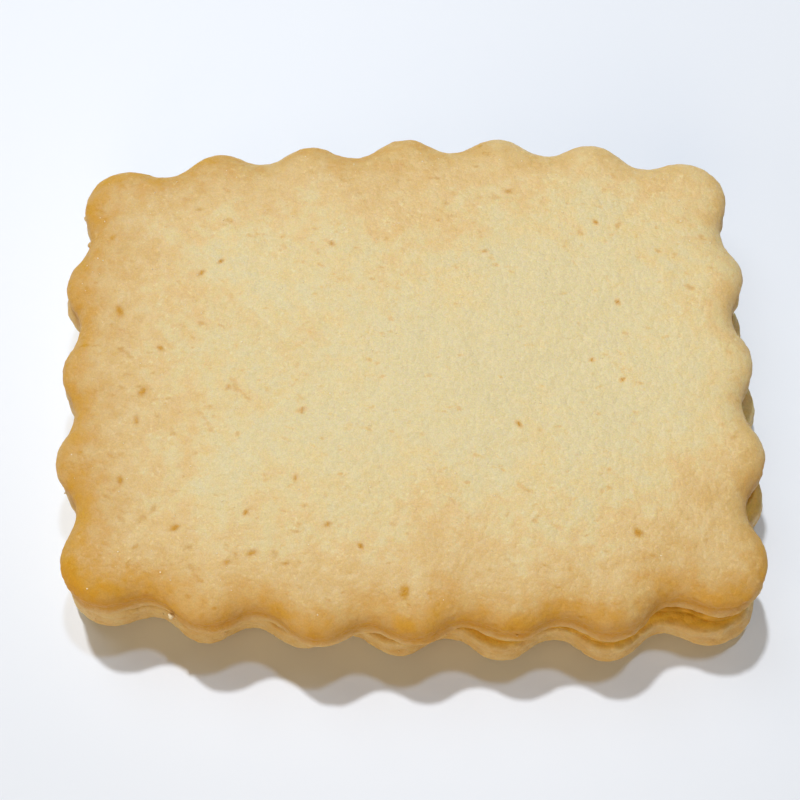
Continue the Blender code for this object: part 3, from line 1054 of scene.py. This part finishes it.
def model_lump(subdivisions, relief):
    """An irregular lump with a radius of about 1."""
    bpy.ops.object.select_all(action="DESELECT")
    bpy.ops.mesh.primitive_ico_sphere_add(subdivisions=subdivisions, radius=1.0)
    lump = bpy.context.active_object
    displace(lump, *relief)
    return lump


def model_sugar():
    """A small crystal: a box with cut edges, with a half length of 1."""
    bpy.ops.object.select_all(action="DESELECT")
    bpy.ops.mesh.primitive_cube_add(size=2.0)
    crystal = bpy.context.active_object
    bpy.ops.object.mode_set(mode="EDIT")
    bpy.ops.mesh.select_all(action="SELECT")
    bpy.ops.transform.resize(value=SUGAR_SHAPE)
    bpy.ops.mesh.bevel(offset=SUGAR_CUT, segments=1, affect="EDGES")
    bpy.ops.object.mode_set(mode="OBJECT")
    return crystal


speck_model, sugar_model = model_lump(3, SPECK_RELIEF), model_sugar()
crumb_model = model_lump(2, CRUMB_RELIEF)
print("faces:", [len(piece.data.polygons) for piece in (speck_model, sugar_model, crumb_model)])

# %% Copying, placing and joining
RANDOM = random.Random(7)
ABOVE = 50 * MM  # where a ray starts on its way down to the crust


def place_copy(model, centre, turn, size, browned):
    """A copy of a model with its place, turn and size in its mesh."""
    mesh = model.data.copy()
    mesh.transform(Matrix.LocRotScale(centre, turn, Vector(size)))
    copy = bpy.data.objects.new(model.name, mesh)
    bpy.context.scene.collection.objects.link(copy)
    write_number(copy, "browned", np.full(len(mesh.vertices), browned))
    return copy


def join_copies(copies, name):
    bpy.ops.object.select_all(action="DESELECT")
    for copy in copies:
        copy.select_set(True)
    bpy.context.view_layer.objects.active = copies[0]
    bpy.ops.object.join()
    copies[0].name = name
    return copies[0]


def top_at(x, y):
    """The point and normal of the baked top at x, y, or None beside it."""
    hit, point, normal, face = upper.ray_cast(Vector((x, y, ABOVE)), Vector((0, 0, -1)))
    return (point, normal) if hit else None


def from_tables(x, y, height):
    """A point whose x and y are counted from the middle and its height from the floor, all in
    millimetres."""
    return Vector((MIDDLE.x + x * MM, MIDDLE.y + y * MM, height * MM))


def any_turn():
    return Euler([RANDOM.uniform(0, 2 * math.pi) for axis in range(3)]).to_quaternion()


print("the baked top is", round(top_at(MIDDLE.x, MIDDLE.y)[0].z / MM, 2), "mm above the floor")

# %% [markdown]
# ### Burnt specks
# The marks that were planned above have already stained the crust. The burnt drop itself is nearly
# flush with it. A pit or a bead would look pasted on, so each mark gets a flattened lump, smaller
# than the mark and sunk until only its cap shows.

# %% Specks
SPECK_SHARE = 0.75  # of the mark's length and width
SPECK_FLATNESS = 0.09  # height above its middle, as a share of its half length
SPECK_SUNK = 0.04  # how deep its middle lies, in the same measure
SPECK_BROWN = (0.30, 1.25)  # of the faintest speck, and how much browner one of strength 1 is


def make_specks():
    copies = []
    for x, y, half, width, angle, strength in marks:
        point, normal = top_at(MIDDLE.x + x * MM, MIDDLE.y + y * MM)
        reach = half * SPECK_SHARE * MM
        size = (reach, width * SPECK_SHARE * MM, reach * SPECK_FLATNESS)
        turn = normal.to_track_quat("Z", "Y") @ Euler((0, 0, angle)).to_quaternion()
        browned = SPECK_BROWN[0] + SPECK_BROWN[1] * strength
        centre = point - normal * reach * SPECK_SUNK
        copies.append(place_copy(speck_model, centre, turn, size, browned))
    return join_copies(copies, "burnt_specks")


specks = make_specks()
specks.data.materials.append(burnt_sugar)
specks.data.shade_smooth()
print(len(marks), "specks,", triangle_count(specks), "triangles")

# %% [markdown]
# ### Sugar
# The crystals are about a tenth of a millimetre across and lie thickest at the back and the left.
# Glints could be painted as white dots, but then they would shine from every side. These are boxes
# with flat faces, so that now and then one mirrors a lamp. One pale bead sits in a hollow at the
# front left.

# %% Sugar grains
SUGAR_GRAINS = 230
SUGAR_HALF = (0.035, 0.085)  # half length, in millimetres
SUGAR_LEFT, SUGAR_BACK = 0.6, 0.4  # how much each direction counts for where the grains are
LEVEL_ENOUGH = 0.9  # the least upward part of the crust's normal where a grain stays lying
BEAD = (-22.6, -24.52, 8.2, 0.31)  # x, y, height, half length


def make_sugar():
    copies = []
    low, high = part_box("upper_biscuit")
    while len(copies) < SUGAR_GRAINS:
        x, y = RANDOM.uniform(low.x, high.x), RANDOM.uniform(low.y, high.y)
        found = top_at(x, y)
        chance = ((high.x - x) / (high.x - low.x) * SUGAR_LEFT
                  + (y - low.y) / (high.y - low.y) * SUGAR_BACK)
        if found is None or found[1].z < LEVEL_ENOUGH or RANDOM.random() > chance:
            continue
        half = RANDOM.uniform(*SUGAR_HALF) * MM
        copies.append(place_copy(sugar_model, found[0], any_turn(), (half, half, half), 0.0))
    *place, half = BEAD
    copies.append(place_copy(crumb_model, from_tables(*place), any_turn(), (half * MM,) * 3, 0.0))
    return join_copies(copies, "sugar_grains")


sugar = make_sugar()
print(triangle_count(sugar), "triangles of sugar")

# %% Sugar material
SUGAR_CLEAR = (0.80, 0.68, 0.42, 1.0)
SUGAR_MILKY = (0.88, 0.79, 0.58, 1.0)
SUGAR_PATCH = 0.2 * MM
SUGAR_ROUGHNESS = (0.25, 0.45)
SUGAR_BUMP = 0.01 * MM
sugar_look, _ = noisy_material("sugar_look", SUGAR_CLEAR, SUGAR_MILKY, SUGAR_PATCH,
                               SUGAR_ROUGHNESS, SUGAR_BUMP)
sugar.data.materials.append(sugar_look)
print("sugar is smoother than the crust: roughness", SUGAR_ROUGHNESS, "against", CRUST_ROUGHNESS)

# %% [markdown]
# ### Crumbs
# Where the dough was cut and handled, crumbs cling to the sides, on the lips at the seam. They
# could be placed by hand, but nobody can tell one crumb from another, so their places are picked
# among the points of the biscuits' own sides. Only the two large ones at the back left have places
# of their own.

# %% Crumbs
CRUMBS = 30
CRUMB_HALF = (0.06, 0.14)  # half width, in millimetres
CRUMB_FLATNESS = 0.7
CRUMB_OUT = 0.5  # how far its middle stands out of the side, as a share of its half width
CRUMB_HEIGHTS = (0.1 * MM, 2.6 * MM)  # counted from the foot
CRUMB_INSET = 0.5 * MM  # and at most this far inside the outline
CRUMB_BROWN = (0.0, 0.5)
CORNER_CRUMBS = ((-34.1, 19.4, 7.0, 0.42), (-33.62, 16.2, 6.9, 0.32))  # x, y, height, half length


def scatter_crumbs(piece, place, number):
    """Crumbs on the lip of one biscuit."""
    low, high = CRUMB_HEIGHTS
    on_lip = (place.height > low) & (place.height < high) & (place.inset < CRUMB_INSET)
    outwards = normals(piece)
    copies = []
    for index in RANDOM.sample(list(np.nonzero(on_lip)[0]), number):
        half = RANDOM.uniform(*CRUMB_HALF) * MM
        centre = Vector(place.points[index]) + Vector(outwards[index]) * half * CRUMB_OUT
        turn, size = any_turn(), (half, half, half * CRUMB_FLATNESS)
        copies.append(place_copy(crumb_model, centre, turn, size, RANDOM.uniform(*CRUMB_BROWN)))
    return copies


def make_crumbs():
    copies = (scatter_crumbs(upper, upper_place, CRUMBS // 2)
              + scatter_crumbs(lower, lower_place, CRUMBS // 2))
    for *place, half in CORNER_CRUMBS:
        copies.append(place_copy(crumb_model, from_tables(*place), any_turn(), (half * MM,) * 3,
                                 CRUMB_BROWN[1]))
    return join_copies(copies, "clinging_crumbs")


crumbs = make_crumbs()
crumbs.data.materials.append(loose_crumb)
crumbs.data.shade_smooth()
for model in (speck_model, sugar_model, crumb_model):
    bpy.data.objects.remove(model)
print(CRUMBS + len(CORNER_CRUMBS), "crumbs,", triangle_count(crumbs), "triangles")

# %% [markdown]
# ## Floor
# The biscuit lies on a plain, pale, slightly bluish floor, which is not part of it. A curved
# backdrop would do as well, but the camera looks down and sees no horizon, so one large level face
# is enough. Very faint, wide clouds keep it from looking like cut paper.

# %% Floor
FLOOR_SIZE = 4.0  # metres
FLOOR_COLOUR = (0.78, 0.83, 0.91)
FLOOR_LIGHTER = 1.02  # how much lighter its light patches are
FLOOR_CLOUDS = (60 * MM, 2.0)  # size and detail
FLOOR_ROUGHNESS = 0.45


def make_floor():
    bpy.ops.object.select_all(action="DESELECT")
    bpy.ops.mesh.primitive_plane_add(size=FLOOR_SIZE, location=(0, 0, 0))
    floor = bpy.context.active_object
    floor.name = "floor"
    material, tree, shader = new_material("floor_look")
    darker = FLOOR_COLOUR + (1.0,)
    lighter = tuple(c * FLOOR_LIGHTER for c in FLOOR_COLOUR) + (1.0,)
    colour = blend_colours(tree, noise_node(tree, *FLOOR_CLOUDS), darker, lighter)
    tree.links.new(colour, shader.inputs["Base Color"])
    shader.inputs["Roughness"].default_value = FLOOR_ROUGHNESS
    floor.data.materials.append(material)
    return floor


floor = make_floor()
print("the floor is", FLOOR_SIZE, "metres wide")

# %% [markdown]
# ## Hand over
# Every piece rides on the one body that the part has. The two biscuits and the filling stand for
# their solids, which stay hidden for collision. They could be joined into one mesh, but are kept
# apart.

# %% Hand over
for piece, node, slot in ((upper, "upper_biscuit", "baked_crust"),
                          (lower, "lower_biscuit", "pale_crust"), (filling, "filling", "filling"),
                          (specks, None, "baked_crust"), (sugar, None, "baked_crust"),
                          (crumbs, None, "pale_crust")):
    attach(piece, "root")
    if node:
        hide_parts(node)
